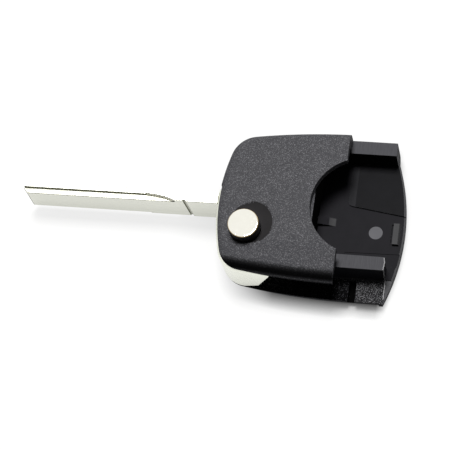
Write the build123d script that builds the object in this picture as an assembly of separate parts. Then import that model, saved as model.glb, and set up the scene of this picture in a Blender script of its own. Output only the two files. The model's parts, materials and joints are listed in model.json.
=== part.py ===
"""Head of a flip key remote shell: two case halves, a folding blade on a hub, and its push button.

The origin is on the blade's pivot axis, level with the flat back of the case. X runs along the
case, from the blade's open end (-X) to the end that takes the remote (+X), and Z is up through
the button. All sizes are in millimetres.
"""
import os
from math import atan2
from math import degrees
from math import hypot
from math import sqrt
from build123d import *

# Case outline, shared by both halves
case_half_width = 19.25
pivot_to_slot_side = 12.2
side_bow_start_x = 25.0
side_bow_radius = 200.0
end_apex_x = -7.85
end_bow_radius = 50.0
corner_radius = 6.5
case_wall = 2.0
arm_width = 3.3

# Lengths along the case
upper_end_x = 22.1
body_end_x = 32.85
tongue_length = 3.3
tongue_apex_shift = -0.85
tongue_bow_radius = 52.0

# Heights in the case
ledge_z = 3.09
bay_floor_z = 3.15
parting_z = 9.5
blade_under_gap = 0.47
blade_over_gap = 0.54
top_thickness = 2.1
dome_radius = 330.0
edge_round = 2.4
bottom_flat_x = 20.0
bottom_bow_radius = 165.0
bottom_edge_round = 2.6
tongue_bottom_z = 1.3

# Blade
blade_thickness = 2.95
blade_height = 8.85
blade_offset = 8.05
blade_tip_x = -56.1
blade_point_length = 1.1
blade_point_side = 0.2
blade_relief = 0.41
blade_relief_x = -25.5
groove_depth = 0.7
groove_half = 0.05
cutter_radius = 19.5
side_mill_depth = 0.15
side_mill_top_x = -16.26
side_mill_bottom_x = -15.65
side_groove_width = 0.7
side_groove_depth = 0.4
shoulder_gap = 0.05
tang_reach_x = 2.2
tang_height = 7.2
fold_gap = 0.295
open_lean = 0.4

# Hub
hub_inset = 0.1
hub_run_gap = 0.2
hub_north_cover = 0.68
hub_round = 0.5
tail_lip_inset = 0.85
tail_knee_inset = 4.35
tail_knee_height = 2.4
tail_foot_inset = 8.75
chamber_gap = 0.15
ring_wall = 1.0
press_gap = 0.03

# Pivot, button and spring
boss_radius = 6.4
boss_drop = 1.05
boss_run_gap = 0.05
button_radius = 3.65
button_run_gap = 0.1
button_top_z = 17.3
button_edge_round = 0.35
button_travel = 2.6
flange_radius = 4.3
flange_run_gap = 0.15
cap_flange_height = 1.4
plunger_flange_height = 0.9
stem_radius = 1.9
stem_height = 5.2
lug_reach = 5.9
lug_width = 2.4
lug_rise_gap = 0.18
lug_slot_gap = 0.1
notch_depth = 0.7
floor_ring_radius = 5.0
floor_ring_wall = 0.8
floor_ring_height = 1.5
wire_radius = 0.4
wire_sides = 8
coil_radius = 3.5
coil_turns = 4
coil_end_gap = 0.1

# Roll pin across the blade's tang
pin_radius = 1.0
pin_wall = 0.35
pin_slit = 0.4
pin_x = -3.0
pin_inner_y = 5.4
pin_recess = 0.1

# Thumb dish beside the button and the round window over the bay
dish_x = 0.9
dish_y = 1.4
dish_radius = 5.4
dish_depth = 1.4
window_x = 26.8
window_shift = 0.41
window_radius = 12.2

# Bay, ledge and tongue details
partition_thickness = 1.42
partition_top_gap = 0.05
arm_foot_round = 0.8
arm_corner_round = 0.45
pad_x = 21.9
pad_height = 0.42
pad_shift = 5.02
pad_drift = 1.55
pad_corner_round = 1.2
pad_lead_length = 1.75
pad_lead_drop = 0.12
step_width = 3.12
step_drift = 0.32
step_x = 22.5
step_depth = 0.15
disc_x = 29.26
disc_shift = -1.45
disc_radius = 1.66
disc_depth = 0.08
rib_shift = -0.5
rib_width = 1.95
rib_height = 1.15
rib_knee_height = 0.5
rib_top_length = 2.65
rib_end_length = 1.6
groove_x = 24.55
groove_width = 1.7
ledge_groove_depth = 1.8
tab_setback = 2.7
tab_length = 1.3
tab_slope_length = 0.45
tab_shift = -4.35
tab_width = 5.3
tab_height = 0.85
tab_slot_width = 0.5
tab_slot_depth = 0.5
tongue_chamfer = 0.4
tongue_side_shift = 0.08
tongue_side_step = 0.32
tongue_side_drop = 0.4

# Pegs that join the halves, and the tray beside the hub
peg_radius = 1.2
peg_fit = 0.05
peg_post_wall = 0.75
peg_depth = 4.0
peg_bottom_gap = 0.4
west_peg_gap = 1.25
east_peg_inset = 1.85
east_peg_gap = 1.1
small_peg_radius = 0.8
small_peg_x = 18.0
small_peg_depth = 2.0
saddle_setback = 1.5
saddle_start_gap = 0.15
tray_floor_z = 3.9
tray_length = 10.6
tray_end_gap = 1.8
tray_ring_gap = 1.2
tray_wall_gap = 0.4
tray_height = 4.4
tray_wall = 0.8
tray_notch_width = 2.6

# Values that follow from the sizes above
case_mid_y = case_half_width - pivot_to_slot_side
case_north_y = case_mid_y + case_half_width
case_south_y = case_mid_y - case_half_width
arm_north_inner_y = case_north_y - arm_width
blade_south_y = blade_offset - blade_thickness / 2
blade_north_y = blade_offset + blade_thickness / 2
arm_south_y = fold_gap - blade_south_y
arm_south_inner_y = arm_south_y + arm_width
step_y = arm_south_inner_y + step_width
blade_bottom_z = ledge_z + blade_under_gap
blade_top_z = blade_bottom_z + blade_height
blade_mid_z = (blade_bottom_z + blade_top_z) / 2
lip_z = blade_top_z + blade_over_gap
top_z = lip_z + top_thickness
hub_bottom_z = ledge_z + hub_run_gap
hub_top_z = lip_z - hub_run_gap
hub_north_y = blade_north_y + hub_north_cover
boss_bottom_z = lip_z - boss_drop
counterbore_radius = boss_radius + boss_run_gap
counterbore_z = boss_bottom_z - flange_run_gap
button_bore_radius = button_radius + button_run_gap
hub_bore_radius = flange_radius + flange_run_gap
lug_top_z = boss_bottom_z - lug_rise_gap
cap_bottom_z = counterbore_z - cap_flange_height
flange_bottom_z = cap_bottom_z - plunger_flange_height
lug_slot_bottom_z = flange_bottom_z - button_travel - hub_run_gap
ring_recess_z = ledge_z + floor_ring_height + flange_run_gap
ring_recess_radius = floor_ring_radius + boss_run_gap
tongue_apex_x = body_end_x + tongue_length
tongue_apex_y = case_mid_y + tongue_apex_shift
tongue_side_y = arm_south_y + tongue_side_shift
window_y = case_mid_y + window_shift
pad_south_y = case_mid_y + pad_shift
pad_top_z = bay_floor_z + pad_height
disc_y = case_mid_y + disc_shift
rib_south_y = case_mid_y + rib_shift
tab_x = tongue_apex_x - tab_setback
tab_south_y = case_mid_y + tab_shift
reach = 120.0
near = 0.01


def disc(x, y, radius):
    """Flat disc in plan."""
    return Pos(x, y) * Circle(radius)


def slab(x0, x1, y0, y1):
    """Flat rectangle in plan, from corner to corner."""
    return Pos((x0 + x1) / 2, (y0 + y1) / 2) * Rectangle(x1 - x0, y1 - y0)


def prism(plan, z0, z1):
    """A plan shape stood up from z0 to z1."""
    return Pos(0, 0, z0) * extrude(plan, z1 - z0)


def block(x0, x1, y0, y1, z0, z1):
    """A box from corner to corner."""
    return prism(slab(x0, x1, y0, y1), z0, z1)


def side_prism(points, y0, y1):
    """A polygon in the XZ plane, stretched along Y from y0 to y1."""
    face = make_face(Polyline(*points, close=True))
    return Pos(0, y1, 0) * extrude(Plane.XZ * face, y1 - y0)


def outline(end_x, inset=0.0):
    """Plan of the case: two long bows and an end bow with rounded corners, cut square at end_x."""
    half = case_half_width - inset
    radius = side_bow_radius - inset
    north = disc(side_bow_start_x, case_mid_y + half - radius, radius)
    south = disc(side_bow_start_x, case_mid_y - half + radius, radius)
    bowed = north & south & slab(-reach, side_bow_start_x, -reach, reach)
    straight = slab(side_bow_start_x, reach, case_mid_y - half, case_mid_y + half)
    end_disc = disc(end_apex_x + end_bow_radius, case_mid_y, end_bow_radius - inset)
    plan = (bowed + straight) & end_disc
    corners = [corner for corner in plan.vertices() if corner.X < 0]
    plan = fillet(corners, corner_radius - inset)
    return plan & slab(-reach, end_x, -reach, reach)


def hub_plan():
    """Case outline crossed with its own half turn, so that the hub is flush open and folded."""
    own = outline(reach / 2, hub_inset)
    turned = Rot(0, 0, 180) * own
    return own & turned & slab(-reach, reach, -reach, hub_north_y)


hub_reach = max(hypot(corner.X, corner.Y) for corner in hub_plan().vertices())
chamber_radius = hub_reach + chamber_gap
partition_x = chamber_radius + boss_run_gap
bay_x = partition_x + partition_thickness
tray_east_x = partition_x - tray_end_gap
tray_west_x = tray_east_x - tray_length
tray_south_y = chamber_radius + ring_wall + tray_ring_gap
tray_north_y = arm_north_inner_y - tray_wall_gap
peg_post_radius = peg_radius + peg_post_wall
west_peg_x = tray_west_x - peg_post_radius - west_peg_gap
west_peg_y = (tray_south_y + tray_north_y) / 2
east_peg_x = partition_x - east_peg_inset
east_peg_y = tray_south_y - peg_post_radius - east_peg_gap
arm_mid_y = (arm_south_y + arm_south_inner_y) / 2
north_wall_mid_y = case_north_y - arm_width / 2


def open_plan():
    """Plan of the room that the hub and the folded blade need between the case halves."""
    fold_slot = slab(-reach, reach, -reach, arm_south_y)
    return fold_slot + disc(0, 0, chamber_radius)


def tray_room_plan():
    """Plan of the room north of the hub, inside the walls."""
    inside = outline(partition_x, case_wall) & slab(-reach, partition_x, 0, reach)
    return inside - disc(0, 0, chamber_radius + ring_wall)


def peg_places():
    """Centre, radius and depth below the parting line of each peg."""
    return [
        (west_peg_x, west_peg_y, peg_radius, peg_depth),
        (east_peg_x, east_peg_y, peg_radius, peg_depth),
        (small_peg_x, arm_mid_y, small_peg_radius, small_peg_depth),
        (small_peg_x, north_wall_mid_y, small_peg_radius, small_peg_depth),
    ]


def domed_top():
    """Blank of the upper half with its crowned top and rounded outer edge."""
    blank = prism(outline(upper_end_x), parting_z, top_z + 1)
    ball = Pos(upper_end_x, case_mid_y, top_z - dome_radius) * Rot(0, 90, 0) * Sphere(dome_radius)
    blank = blank & ball
    top_face = blank.faces().sort_by(Axis.Z)[-1]
    rim = [edge for edge in top_face.edges() if edge.center().X < upper_end_x - 0.1]
    return fillet(rim, edge_round)


def dish_ball():
    """Ball that scoops the thumb dish."""
    fall = (upper_end_x - dish_x) ** 2 + (case_mid_y - dish_y) ** 2
    surface_z = top_z - fall / (2 * dome_radius)
    radius = (dish_radius ** 2 + dish_depth ** 2) / (2 * dish_depth)
    return Pos(dish_x, dish_y, surface_z + radius - dish_depth) * Sphere(radius)


def upper_case():
    """Top half: crowned shell with the dish, the button hole, the window and the pegs."""
    room = outline(partition_x, case_wall) + open_plan()
    room = room + slab(partition_x, reach, arm_south_y - 1, arm_north_inner_y)
    shell = domed_top() - prism(room, parting_z, lip_z)
    boss = prism(disc(0, 0, boss_radius), boss_bottom_z, lip_z)
    saddle_start = bay_x + saddle_start_gap
    saddle_end = upper_end_x - saddle_setback
    saddle = block(saddle_start, saddle_end, arm_south_y, arm_south_inner_y, parting_z, lip_z)
    shell = shell + boss + saddle
    for x, y, radius, depth in peg_places():
        shell = shell + prism(disc(x, y, radius), parting_z - depth, lip_z)
    shell = shell - dish_ball()
    shell = shell - prism(disc(0, 0, button_bore_radius), parting_z, top_z)
    shell = shell - prism(disc(window_x, window_y, window_radius), parting_z, top_z)
    notch_half = lug_width / 2 + lug_rise_gap
    notch = block(-reach / 2, reach / 2, -notch_half, notch_half,
                  boss_bottom_z, boss_bottom_z + notch_depth)
    return shell - (notch & prism(disc(0, 0, boss_radius), boss_bottom_z, lip_z))


def side_profile():
    """Side view of the lower half's blank: flat under the bay, then bowed up towards the pivot."""
    run = bottom_flat_x - end_apex_x + 2
    sweep_angle = degrees(atan2(run, sqrt(bottom_bow_radius ** 2 - run ** 2)))
    bow = JernArc((bottom_flat_x, 0), (-1, 0), bottom_bow_radius, -sweep_angle)
    west = bow @ 1
    rest = Polyline(west, (west.X, parting_z), (body_end_x, parting_z), (body_end_x, 0),
                    (bottom_flat_x, 0))
    return Plane.XZ * make_face(bow + rest)


def lower_blank():
    """Outer form of the lower half with its rounded bottom edge."""
    blank = prism(outline(body_end_x), -1, parting_z)
    blank = blank & extrude(side_profile(), reach, both=True)
    rim = []
    for face in blank.faces():
        if face.normal_at(face.center()).Z < -0.9:
            rim.extend(face.edges())
    rim = [edge for edge in rim if edge.center().X < body_end_x - 0.1]
    rim = [edge for edge in rim if abs(edge.center().Y - case_mid_y) > 1 or edge.center().X < 0]
    return fillet(rim, bottom_edge_round)


def bowed(plan, bottom_z, top_z):
    """A prism of the plan, cut off by the tongue's bow, whose top edge is broken."""
    centre = Location((tongue_apex_x - tongue_bow_radius, tongue_apex_y, 0), (0, 0, 180))
    round_plan = centre * Circle(tongue_bow_radius)
    blank = prism(round_plan, bottom_z, top_z)
    top_edge = blank.faces().sort_by(Axis.Z)[-1].edges()
    return prism(plan & outline(reach), bottom_z, top_z) & chamfer(top_edge, tongue_chamfer)


def tongue():
    """Thin bowed tongue beyond the arms, which slides under the remote."""
    plan = slab(body_end_x - 1, reach, -reach, reach)
    solid = bowed(plan, tongue_bottom_z, bay_floor_z)
    side_z = bay_floor_z - tongue_side_step
    slope = make_face(Polyline(
        (tongue_side_y, side_z),
        (case_south_y - 1, side_z - tongue_side_drop),
        (case_south_y - 1, bay_floor_z + 1),
        (tongue_side_y, bay_floor_z + 1),
        close=True))
    slope = Pos(body_end_x, 0, 0) * extrude(Plane.YZ * slope, reach)
    return solid - slope


def pad():
    """Raised pad on the bay floor, low along its west side, which runs out over the tongue."""
    end_x = tongue_apex_x + 1
    fall = pad_drift * (end_x - pad_x) / (body_end_x - pad_x)
    plan = make_face(Polyline(
        (pad_x, pad_south_y),
        (end_x, pad_south_y - fall),
        (end_x, arm_north_inner_y),
        (pad_x, arm_north_inner_y),
        close=True))
    corner = plan.vertices().sort_by(Axis.X)[0:2].sort_by(Axis.Y)[0]
    plan = fillet(corner, pad_corner_round)
    plan = plan + slab(body_end_x, end_x, pad_south_y, reach)
    solid = bowed(plan, bay_floor_z - tongue_chamfer, pad_top_z)
    lead = side_prism([
        (pad_x, pad_top_z - pad_lead_drop),
        (pad_x + pad_lead_length, pad_top_z),
        (pad_x, pad_top_z)], 0, reach)
    return solid - lead


def floor_step():
    """Lower strip of floor beside the south arm."""
    end_x = tongue_apex_x + 1
    plan = make_face(Polyline(
        (step_x, arm_south_inner_y),
        (end_x, arm_south_inner_y),
        (end_x, step_y + step_drift),
        (step_x, step_y),
        close=True))
    return prism(plan, bay_floor_z - step_depth, bay_floor_z + 1)


def ramp_rib():
    """Short rib on the bay floor, high at the partition, which ramps down to the floor."""
    knee_x = bay_x + rib_top_length
    return side_prism([
        (bay_x, bay_floor_z),
        (bay_x, bay_floor_z + rib_height),
        (knee_x, bay_floor_z + rib_knee_height),
        (knee_x + rib_end_length, bay_floor_z)], rib_south_y, rib_south_y + rib_width)


def tab():
    """Stop tab near the edge of the tongue, steep on the bay side and sloped outwards."""
    top = bay_floor_z + tab_height
    return side_prism([
        (tab_x, bay_floor_z - tab_slot_depth),
        (tab_x, top),
        (tab_x + tab_length, top),
        (tab_x + tab_length + tab_slope_length, bay_floor_z),
        (tab_x + tab_length + tab_slope_length, bay_floor_z - tab_slot_depth)],
        tab_south_y, tab_south_y + tab_width)


def round_arm_feet(body):
    """Round where the south arm stands on the ledge, and the arm's inner end corner."""
    feet = []
    for edge in body.edges().filter_by(Axis.X):
        middle = edge.center()
        on_ledge = abs(middle.Y - arm_south_y) < near and abs(middle.Z - ledge_z) < near
        if on_ledge and middle.X > bay_x:
            feet.append(edge)
    body = fillet(feet, arm_foot_round)
    corners = []
    for edge in body.edges().filter_by(Axis.Z):
        middle = edge.center()
        at_end = abs(middle.X - body_end_x) < near
        if at_end and abs(middle.Y - arm_south_inner_y) < near:
            corners.append(edge)
    return fillet(corners, arm_corner_round)


def lower_case():
    """Bottom half: ledge, hub chamber, bay for the remote, arms, tongue and peg sockets."""
    body = lower_blank()
    body = body - prism(open_plan(), ledge_z, parting_z)
    body = body - block(bay_x, reach, arm_south_inner_y, arm_north_inner_y, bay_floor_z, parting_z)
    body = body - prism(tray_room_plan(), tray_floor_z, parting_z)
    body = round_arm_feet(body)
    wall_top = lip_z - partition_top_gap
    body = body + block(partition_x, bay_x, arm_south_y, arm_north_inner_y, ledge_z, wall_top)
    for x, y, radius, depth in peg_places():
        if radius == peg_radius:
            body = body + prism(disc(x, y, peg_post_radius), ledge_z, parting_z)
    for x, y, radius, depth in peg_places():
        bottom = parting_z - depth - peg_bottom_gap
        body = body - prism(disc(x, y, radius + peg_fit), bottom, parting_z)
    ring = disc(0, 0, floor_ring_radius) - disc(0, 0, floor_ring_radius - floor_ring_wall)
    body = body + prism(ring, ledge_z, ledge_z + floor_ring_height)
    body = body + tongue()
    body = body - floor_step() + pad()
    body = body - block(tab_x - tab_slot_width, tab_x, tab_south_y, tab_south_y + tab_width,
                        bay_floor_z - tab_slot_depth, bay_floor_z)
    body = body + ramp_rib() + tab()
    body = body - prism(disc(disc_x, disc_y, disc_radius), bay_floor_z - disc_depth, bay_floor_z)
    return body - block(groove_x, groove_x + groove_width, case_south_y - 1,
                        arm_south_y - arm_foot_round, ledge_z - ledge_groove_depth, ledge_z + 1)


def pin_rod(radius, y0, y1):
    """Round rod along Y through the pin's place."""
    return Pos(pin_x, (y0 + y1) / 2, blade_mid_z) * Rot(90, 0, 0) * Cylinder(radius, y1 - y0)


def leaned(body):
    """A piece of the blade's unit, turned by the small play that the lock leaves it when open."""
    return Rot(0, 0, open_lean) * body


def blade_hub():
    """Cast hub that carries the blade and turns on the case's boss and floor ring."""
    body = prism(hub_plan(), hub_bottom_z, hub_top_z)
    bottom_face = body.faces().sort_by(Axis.Z)[0]
    top_face = body.faces().sort_by(Axis.Z)[-1]
    body = fillet(bottom_face.edges() + top_face.edges(), hub_round)
    body = body - prism(disc(0, 0, hub_bore_radius), hub_bottom_z, hub_top_z)
    body = body - prism(disc(0, 0, counterbore_radius), counterbore_z, hub_top_z)
    body = body - prism(disc(0, 0, ring_recess_radius), hub_bottom_z, ring_recess_z)
    slot_reach = lug_reach + flange_run_gap
    slot_half = lug_width / 2 + lug_slot_gap
    body = body - block(-slot_reach, slot_reach, -slot_half, slot_half,
                        lug_slot_bottom_z, counterbore_z)
    half_tang = tang_height / 2 + press_gap
    body = body - block(-reach, tang_reach_x + press_gap, blade_south_y - press_gap,
                        blade_north_y + press_gap, blade_mid_z - half_tang, blade_mid_z + half_tang)
    body = body - pin_rod(pin_radius, pin_inner_y, hub_north_y + 1)
    east_x = -end_apex_x - hub_inset
    tail_cut = side_prism([
        (east_x - tail_foot_inset, hub_bottom_z),
        (east_x - tail_knee_inset, hub_bottom_z + tail_knee_height),
        (east_x - tail_lip_inset, hub_top_z),
        (reach, hub_top_z),
        (reach, hub_bottom_z)], -reach, -counterbore_radius)
    return leaned(body - tail_cut)


def blade_cutters():
    """What is milled from the blade's upper south side: lead-in groove, side face, end groove."""
    middle_y = blade_offset + groove_half
    groove = slab(-reach, blade_relief_x, -reach, middle_y)
    groove = groove + disc(blade_relief_x, middle_y - cutter_radius, cutter_radius)
    groove_z = blade_top_z - blade_relief - groove_depth
    upper = prism(groove, groove_z, blade_top_z + 1)
    relief = block(-reach, blade_relief_x, -reach, reach, blade_top_z - blade_relief,
                   blade_top_z + 1)
    side = side_prism([
        (-reach, blade_bottom_z - 1),
        (side_mill_bottom_x, blade_bottom_z - 1),
        (side_mill_bottom_x, blade_bottom_z),
        (side_mill_top_x, blade_top_z),
        (side_mill_top_x, blade_top_z + 1),
        (-reach, blade_top_z + 1)], blade_south_y - 1, blade_south_y + side_mill_depth)
    end_groove = side_prism([
        (side_mill_bottom_x, blade_bottom_z - 1),
        (side_mill_bottom_x + side_groove_width, blade_bottom_z - 1),
        (side_mill_bottom_x + side_groove_width, blade_bottom_z),
        (side_mill_top_x + side_groove_width, blade_top_z),
        (side_mill_top_x + side_groove_width, blade_top_z + 1),
        (side_mill_top_x, blade_top_z + 1),
        (side_mill_top_x, blade_top_z),
        (side_mill_bottom_x, blade_bottom_z)], blade_south_y - 1, blade_south_y + side_groove_depth)
    return upper + relief + side + end_groove


def key_blade():
    """Uncut side-milled blade with a pointed tip, square shoulders and a tang in the hub."""
    plan = make_face(Polyline(
        (blade_tip_x, blade_offset - blade_point_side),
        (blade_tip_x + blade_point_length, blade_south_y),
        (end_apex_x + hub_inset - shoulder_gap, blade_south_y),
        (end_apex_x + hub_inset - shoulder_gap, blade_north_y),
        (blade_tip_x + blade_point_length, blade_north_y),
        close=True))
    body = prism(plan, blade_bottom_z, blade_top_z)
    cutters = blade_cutters()
    mid_axis = Axis((0, blade_offset, blade_mid_z), (1, 0, 0))
    body = body - cutters - cutters.rotate(mid_axis, 180)
    half_tang = tang_height / 2
    tang = block(end_apex_x, tang_reach_x, blade_south_y, blade_north_y,
                 blade_mid_z - half_tang, blade_mid_z + half_tang)
    body = body + tang
    return leaned(body - pin_rod(pin_radius, blade_south_y - 1, blade_north_y + 1))


def blade_roll_pin():
    """Slotted spring pin that locks the tang in the hub."""
    pin_outer_y = hub_north_y - pin_recess
    body = pin_rod(pin_radius, pin_inner_y, pin_outer_y)
    body = body - pin_rod(pin_radius - pin_wall, pin_inner_y, pin_outer_y)
    slit_half = pin_slit / 2
    slit = block(pin_x - slit_half, pin_x + slit_half, pin_inner_y, pin_outer_y,
                 blade_mid_z, blade_mid_z + 2 * pin_radius)
    return leaned(body - slit)


def button_cap():
    """Plated cap with a rounded top edge, a stop flange and a bore for the plunger's stem."""
    body = prism(disc(0, 0, button_radius), cap_bottom_z, button_top_z)
    top_edge = body.edges().sort_by(Axis.Z)[-1]
    body = fillet(top_edge, button_edge_round)
    body = body + prism(disc(0, 0, flange_radius), cap_bottom_z, counterbore_z)
    bore_top = cap_bottom_z + stem_height + hub_run_gap
    return body - prism(disc(0, 0, stem_radius + press_gap), cap_bottom_z, bore_top)


def lock_plunger():
    """Plunger under the cap: a stem, a flange for the spring and two lugs with upright teeth."""
    body = prism(disc(0, 0, flange_radius), flange_bottom_z, cap_bottom_z)
    body = body + prism(disc(0, 0, stem_radius), flange_bottom_z, cap_bottom_z + stem_height)
    half = lug_width / 2
    inner = flange_radius + flange_run_gap
    bar = block(-lug_reach, lug_reach, -half, half, flange_bottom_z, cap_bottom_z)
    teeth = block(-lug_reach, lug_reach, -half, half, flange_bottom_z, lug_top_z)
    teeth = teeth - block(-inner, inner, -half, half, flange_bottom_z, lug_top_z)
    return body + bar + teeth


def flip_spring():
    """Coil spring that turns the hub and lifts the plunger."""
    start_z = ledge_z + coil_end_gap + wire_radius
    end_z = flange_bottom_z - coil_end_gap - wire_radius
    height = end_z - start_z
    path = Pos(0, 0, start_z) * Helix(height / coil_turns, height, coil_radius)
    section = Plane(origin=path @ 0, z_dir=path % 0) * RegularPolygon(wire_radius, wire_sides)
    return sweep(section, path=path, is_frenet=True)


def chip_carrier():
    """Small open tray for the immobiliser chip, on the floor north of the hub."""
    top = tray_floor_z + tray_height
    body = block(tray_west_x, tray_east_x, tray_south_y, tray_north_y, tray_floor_z, top)
    body = body - block(tray_west_x + tray_wall, tray_east_x - tray_wall,
                        tray_south_y + tray_wall, tray_north_y - tray_wall,
                        tray_floor_z + tray_wall, top)
    notch_half = tray_notch_width / 2
    middle = (tray_west_x + tray_east_x) / 2
    return body - block(middle - notch_half, middle + notch_half, tray_south_y, tray_north_y,
                        tray_floor_z + tray_height / 2, top)


nodes = {
    "upper_case": upper_case,
    "lower_case": lower_case,
    "key_blade": key_blade,
    "blade_hub": blade_hub,
    "blade_roll_pin": blade_roll_pin,
    "button_cap": button_cap,
    "lock_plunger": lock_plunger,
    "flip_spring": flip_spring,
    "chip_carrier": chip_carrier,
}

os.makedirs("parts", exist_ok=True)
for name, build in nodes.items():
    shape = build()
    export_step(shape, "parts/" + name + ".step")
    print(name, "volume", round(shape.volume, 2), "mm3")
print("hub reach", round(hub_reach, 3), "mm, chamber radius", round(chamber_radius, 3), "mm")
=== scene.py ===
# %% [markdown]
# # Dressing a flip key head
#
# The key head is a moulded case with a bright blade on one side and an open bay on the other.
# Its solids are already exact, so this lesson is about what a camera sees on them: broken
# edges, moulded grain, milled metal, plating, and the small traces that moulds and cutters leave.
#
# The frame is loaded first. Everything is in metres, and mm turns a size on the drawing into
# metres.

# %% Load the frame
import json
import math
import bmesh
import bpy
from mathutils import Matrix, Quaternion
from mathutils import Vector


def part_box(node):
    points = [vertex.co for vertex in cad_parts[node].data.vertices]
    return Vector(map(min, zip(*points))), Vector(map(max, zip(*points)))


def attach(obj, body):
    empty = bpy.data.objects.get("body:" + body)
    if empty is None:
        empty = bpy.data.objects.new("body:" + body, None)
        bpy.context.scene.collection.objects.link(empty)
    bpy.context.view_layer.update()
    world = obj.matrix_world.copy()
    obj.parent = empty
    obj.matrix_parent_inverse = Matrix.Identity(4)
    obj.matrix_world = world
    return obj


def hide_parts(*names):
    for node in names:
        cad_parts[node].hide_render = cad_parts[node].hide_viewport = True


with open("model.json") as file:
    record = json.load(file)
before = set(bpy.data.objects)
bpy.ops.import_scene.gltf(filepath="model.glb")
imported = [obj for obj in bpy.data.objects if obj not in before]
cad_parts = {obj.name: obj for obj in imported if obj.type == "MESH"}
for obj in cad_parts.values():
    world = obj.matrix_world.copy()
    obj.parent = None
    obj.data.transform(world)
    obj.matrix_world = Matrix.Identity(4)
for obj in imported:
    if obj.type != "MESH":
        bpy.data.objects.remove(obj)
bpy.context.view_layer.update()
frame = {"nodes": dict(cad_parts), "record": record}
mm = 0.001
record = frame["record"]
print("nodes:", ", ".join(sorted(frame["nodes"])))

# %% [markdown]
# ## Places where a finish changes
#
# A finish changes where the form changes: at the ledge, on top of the arms, inside the bay. The
# outer places are read from the boxes of the nodes. A step inside a solid doesn't show in its
# box, so those heights and edges are named here once, with the sizes that the part was drawn to.

# %% Places on the case and the blade
upper_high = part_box("upper_case")[1]
lower_low, lower_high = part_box("lower_case")
blade_low, blade_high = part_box("key_blade")
case_middle_y = (lower_low.y + lower_high.y) / 2
parting_z = 9.5 * mm
ledge_z = 3.09 * mm
bay_floor_z = 3.15 * mm
bay_west_x = 15.2 * mm
arm_north_y = 23.0 * mm
arm_south_y = -2.98 * mm
slot_wall_y = -6.28 * mm
arm_end_x = 32.85 * mm
print("top of the case at", round(upper_high.z / mm, 2), "mm, parting at", parting_z / mm, "mm")

# %% [markdown]
# ## A camera that stands where the photographer stood
#
# The picture was taken from high in front and a little to the right, with a long lens. A turn
# and a height on a sphere say that more plainly than three coordinates, and a roll about the
# line of sight lays the blade level in the frame.

# %% Camera
camera_azimuth = math.radians(28.297)
camera_elevation = math.radians(65.041)
camera_distance = 0.4810
camera_roll = math.radians(-21.990)
camera_target = Vector((-5.939, 2.498, 9.0)) * mm
camera_lens = 161.97
flat = math.cos(camera_elevation)
back = Vector((math.sin(camera_azimuth) * flat, -math.cos(camera_azimuth) * flat,
               math.sin(camera_elevation)))
camera_data = bpy.data.cameras.new("camera")
camera_data.lens = camera_lens
camera_data.sensor_width = 36.0
camera_data.clip_start = 0.01
camera_data.clip_end = 20.0
camera = bpy.data.objects.new("camera", camera_data)
camera.location = camera_target + back * camera_distance
camera.rotation_mode = "QUATERNION"
level = (-back).to_track_quat("-Z", "Y")
camera.rotation_quaternion = level @ Quaternion((0, 0, 1), camera_roll)
bpy.context.scene.collection.objects.link(camera)
bpy.context.scene.camera = camera
print("camera at", [round(v / mm, 1) for v in camera.location], "mm")

# %% [markdown]
# ## Helpers for node trees
#
# Every finish below is a node tree. A few small functions keep those trees readable: one adds a
# node and sets its sockets by name, one draws a wire, and two do sums and mixes. A colour is
# written as it would be read off a picture, and seen turns it into the light that a shader needs.

# %% Node helpers
def add_node(tree, kind, inputs=None, **settings):
    """A new node with its settings and its input values."""
    made = tree.nodes.new(kind)
    for name, value in settings.items():
        setattr(made, name, value)
    for name, value in (inputs or {}).items():
        made.inputs[name].default_value = value
    return made


def wire(tree, source, output, target, socket):
    """Draws a wire from one node's output to another's input."""
    tree.links.new(source.outputs[output], target.inputs[socket])


def math_node(tree, operation, first, second=None, clamp=False):
    """The result of a Math node fed by sockets or numbers."""
    made = add_node(tree, "ShaderNodeMath", operation=operation, use_clamp=clamp)
    for index, value in enumerate((first, second)):
        if value is None:
            continue
        if isinstance(value, (int, float)):
            made.inputs[index].default_value = value
        else:
            tree.links.new(value, made.inputs[index])
    return made.outputs[0]


def mix_colour(tree, factor, first, second):
    """The result of a colour mix fed by sockets, numbers or colours."""
    made = add_node(tree, "ShaderNodeMix", data_type="RGBA")
    for socket, value in ((0, factor), (6, first), (7, second)):
        if isinstance(value, (int, float, tuple)):
            made.inputs[socket].default_value = value
        else:
            tree.links.new(value, made.inputs[socket])
    return made.outputs[2]


def seen(red, green, blue):
    """A colour as read off a picture, from 0 to 255, turned into the light that makes it."""
    parts = []
    for value in (red, green, blue):
        share = value / 255
        parts.append(share / 12.92 if share < 0.04045 else ((share + 0.055) / 1.055) ** 2.4)
    return (*parts, 1.0)


print("a grey read as 128 is", round(seen(128, 128, 128)[0], 3), "of full light")

# %% [markdown]
# ## Moulded grain as a node group
#
# Car plastic is grained by etching the mould: closely packed pips about a fifth of a millimetre
# wide. They could be modelled, but a hundred thousand small bumps would say no more than a pattern
# does. Voronoi cells give the pips, and noise makes them uneven. The case and the ledge use the
# same grain with other values, so it is built once as a group. It gives a height for a Bump node, a
# random tone for the colour, and a mask of the few pips that get a painted glint, a highlight put
# into their colour.

# %% Grain group
cell_ratio = 1.15
coarse_ratio = 0.42
coarse_height = 0.55
glint_level = 1.3
glint_fade = 2.3


def new_group(name, inputs, outputs):
    """An empty shader node group with named float or vector sockets."""
    group = bpy.data.node_groups.new(name, "ShaderNodeTree")
    for label, kind, value in inputs:
        made = group.interface.new_socket(label, in_out="INPUT", socket_type=kind)
        if value is not None:
            made.default_value = value
    for label, kind in outputs:
        group.interface.new_socket(label, in_out="OUTPUT", socket_type=kind)
    return group, group.nodes.new("NodeGroupInput"), group.nodes.new("NodeGroupOutput")


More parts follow.
